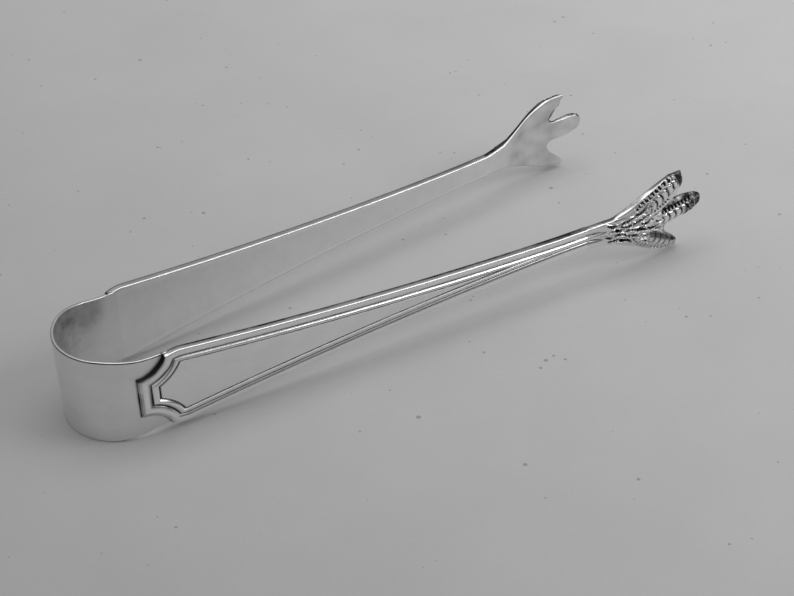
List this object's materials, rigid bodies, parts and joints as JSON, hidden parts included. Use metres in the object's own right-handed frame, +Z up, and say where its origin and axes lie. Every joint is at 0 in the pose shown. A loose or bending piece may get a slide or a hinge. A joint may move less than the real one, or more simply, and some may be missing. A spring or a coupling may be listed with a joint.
{
  "type": "ice tongs",
  "caption": "Sprung bow tongs for ice: a strip bent into a bow joins flat arms with a moulded panel, each ending in a bird's claw that grips a cube.",
  "frame": {"origin": "middle of the strip's thickness at the back of the bow, on the strip's lower edge", "axes": "+X from the bow to the claws, +Y towards the back arm, +Z up with the tongs lying on edge"},
  "size_m": [0.1625, 0.0514, 0.022],
  "materials": {
    "bow_silver": "polished silver plate, fine scratches, cloudy tarnish inside",
    "arm_silver": "polished silver plate, dark in the grooves",
    "claw_silver": "silver plate, chased, dark in the recesses"
  },
  "bodies": {
    "bow": {"bow": "bow_silver"},
    "front_limb": {"arm_front": "arm_silver", "claw_front": "claw_silver"},
    "back_limb": {"arm_back": "arm_silver", "claw_back": "claw_silver"}
  },
  "joints": [
    {"name": "back_flex", "type": "hinge", "parent": "bow", "child": "back_limb", "pos_m": [0.00487, 0.00853, 0.011], "axis": [0, 0, -1], "range_deg": [0, 8.4], "stiffness_Nm_per_rad": 4.7, "deforming": ["bow"]},
    {"name": "front_flex", "type": "hinge", "parent": "bow", "child": "front_limb", "pos_m": [0.00487, -0.00853, 0.011], "axis": [0, 0, 1], "range_deg": [0, 8.4], "stiffness_Nm_per_rad": 4.7, "deforming": ["bow"]}
  ],
  "couplings": [
    {"joint": "front_flex", "follows": "back_flex", "ratio": 1}
  ]
}
